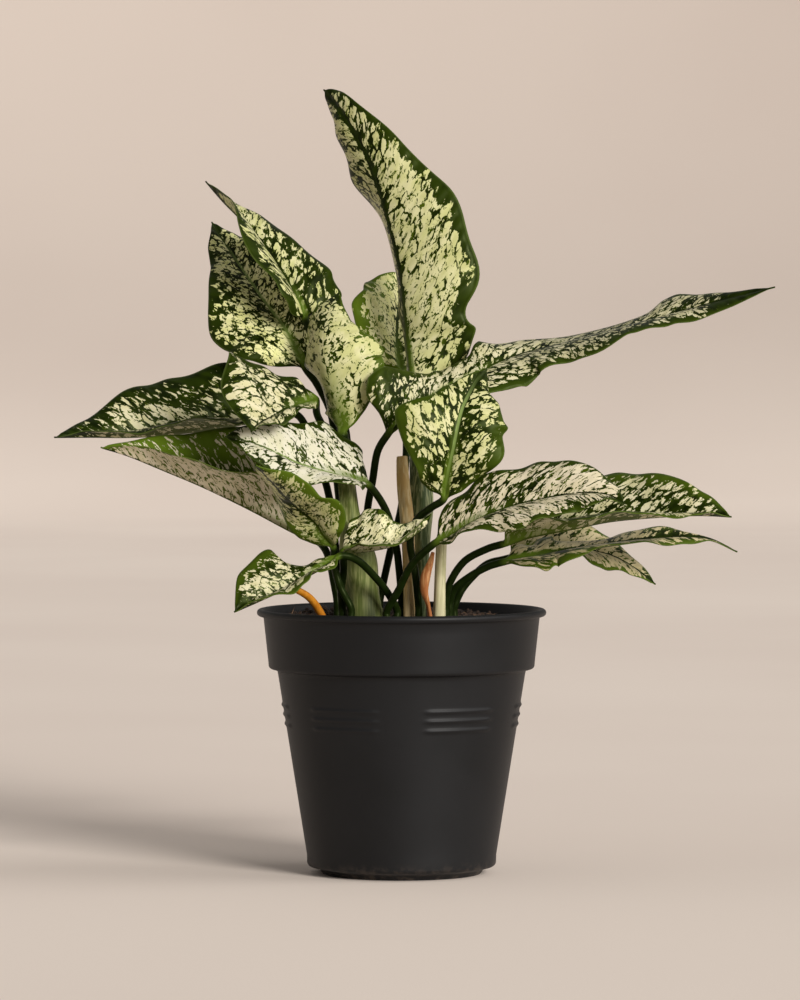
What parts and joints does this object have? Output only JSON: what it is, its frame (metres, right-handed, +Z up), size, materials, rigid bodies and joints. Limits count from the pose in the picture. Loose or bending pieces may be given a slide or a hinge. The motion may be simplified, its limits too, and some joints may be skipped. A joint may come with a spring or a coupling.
{
  "type": "potted house plant",
  "caption": "Bushy leafy house plant with cream-blotched waved leaves on long stalks, standing in a round black nursery pot of soil.",
  "frame": {"origin": "middle of the pot's foot, on the surface it stands on", "axes": "+Z up along the pot's axis; -Y towards the viewer of the picture; +X to the viewer's right"},
  "size_m": [0.2979, 0.1488, 0.3274],
  "materials": {
    "pot_plastic": "matte black thin-wall plastic",
    "soil": "moist crumbly peat",
    "leaf_dark": "semi-gloss leaf, mostly dark green",
    "leaf_mixed": "semi-gloss leaf, cream blotches on dark green",
    "leaf_pale": "semi-gloss leaf, mostly cream with green flecks",
    "leaf_white": "semi-gloss leaf, near white with fine green specks",
    "green_stem": "smooth green stem with pale streaks",
    "tan_sheath": "satin tan sheath",
    "pale_stub": "pale cut stalk",
    "orange_stalk": "old ochre stalk",
    "dry_sheath": "papery dried sheath"
  },
  "bodies": {
    "root": {"pot": "pot_plastic", "soil": "soil", "stem_left": "green_stem", "stem_middle": "green_stem", "stem_tan": "tan_sheath", "stem_stub": "pale_stub", "stalk_orange": "orange_stalk", "sheath_dry": "dry_sheath", "leaf_top": "leaf_mixed", "leaf_behind": "leaf_pale", "leaf_pale": "leaf_pale", "leaf_broad": "leaf_mixed", "leaf_pointed": "leaf_pale", "leaf_draped": "leaf_pale", "leaf_long": "leaf_mixed", "leaf_heart": "leaf_pale", "leaf_far_left": "leaf_dark", "leaf_boat": "leaf_mixed", "leaf_speckled": "leaf_mixed", "leaf_white": "leaf_white", "leaf_low_left": "leaf_pale", "leaf_curled": "leaf_white", "leaf_low_right": "leaf_white", "leaf_far_right": "leaf_dark", "leaf_slender": "leaf_mixed", "leaf_lowest_right": "leaf_dark"}
  },
  "joints": []
}
